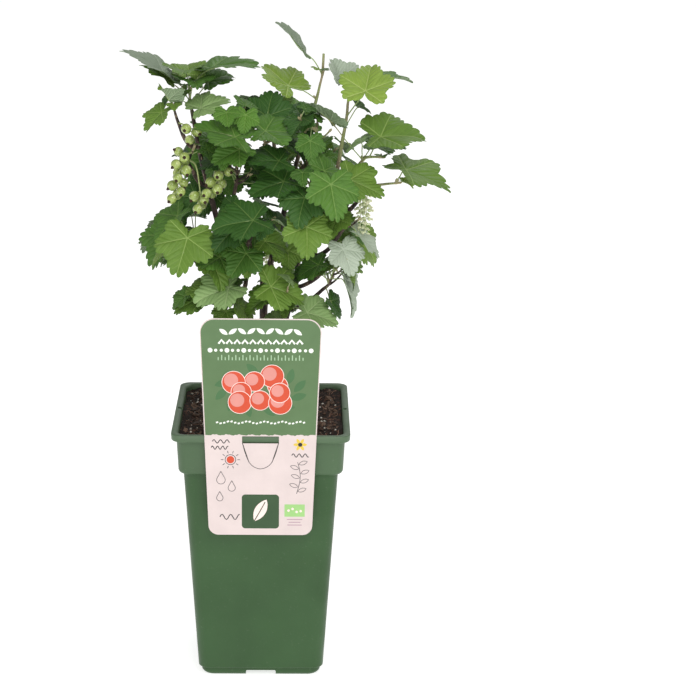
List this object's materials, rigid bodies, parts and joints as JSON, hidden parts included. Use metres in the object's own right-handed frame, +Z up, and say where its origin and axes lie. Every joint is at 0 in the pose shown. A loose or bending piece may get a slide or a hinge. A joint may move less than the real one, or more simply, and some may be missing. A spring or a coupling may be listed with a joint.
{
  "type": "potted currant bush",
  "caption": "Young red currant bush with several leafy stems and green berries, in a tall square nursery pot with a plant label hooked on the rim.",
  "frame": {"origin": "centre of the pot's flat underside", "axes": "+Z up along the stems, +X to the right of the label's face, -Y out of the label's face"},
  "size_m": [0.2687, 0.2105, 0.5621],
  "materials": {
    "pot_plastic": "satin moulded polypropylene, dark green",
    "peat": "rough bark and peat mix",
    "label_card": "printed plastic card, satin",
    "bark": "thin brown bark, slightly rough",
    "leaf_green": "fresh leaves, satin"
  },
  "bodies": {
    "root": {"pot": "pot_plastic", "soil": "peat", "label": "label_card", "trunk": "bark", "stem_left": "bark", "stem_centre": "bark", "stem_right": "bark", "bough_back_left": "bark", "bough_back_right": "bark", "bough_back_low": "bark", "bough_back_top": "bark", "bough_side_left": "bark", "bough_side_right": "bark", "bough_left_high": "bark", "bough_left_mid": "bark", "bough_left_low": "bark", "bough_left_foot": "bark", "bough_centre_high": "bark", "bough_heart_left": "bark", "bough_heart_right": "bark", "bough_heart_low": "bark", "bough_front_right": "bark", "bough_front_mid": "bark", "bough_front_low": "bark", "bough_right_high": "bark", "bough_far_right": "bark", "bough_right_mid": "bark", "bough_right_low": "bark", "foliage_left_top": "leaf_green", "foliage_top_centre": "leaf_green", "foliage_right_top": "leaf_green", "foliage_right_high": "leaf_green", "foliage_far_right": "leaf_green", "foliage_left_high": "leaf_green", "foliage_centre_high": "leaf_green", "foliage_heart_right": "leaf_green", "foliage_front_right": "leaf_green", "foliage_front_mid": "leaf_green", "foliage_heart_left": "leaf_green", "foliage_left_mid": "leaf_green", "foliage_left_low": "leaf_green", "foliage_left_foot": "leaf_green", "foliage_heart_low": "leaf_green", "foliage_front_low": "leaf_green", "foliage_right_mid": "leaf_green", "foliage_right_low": "leaf_green", "foliage_back_top": "leaf_green", "foliage_back_left": "leaf_green", "foliage_back_right": "leaf_green", "foliage_back_low": "leaf_green", "foliage_side_left": "leaf_green", "foliage_side_right": "leaf_green"}
  },
  "joints": []
}
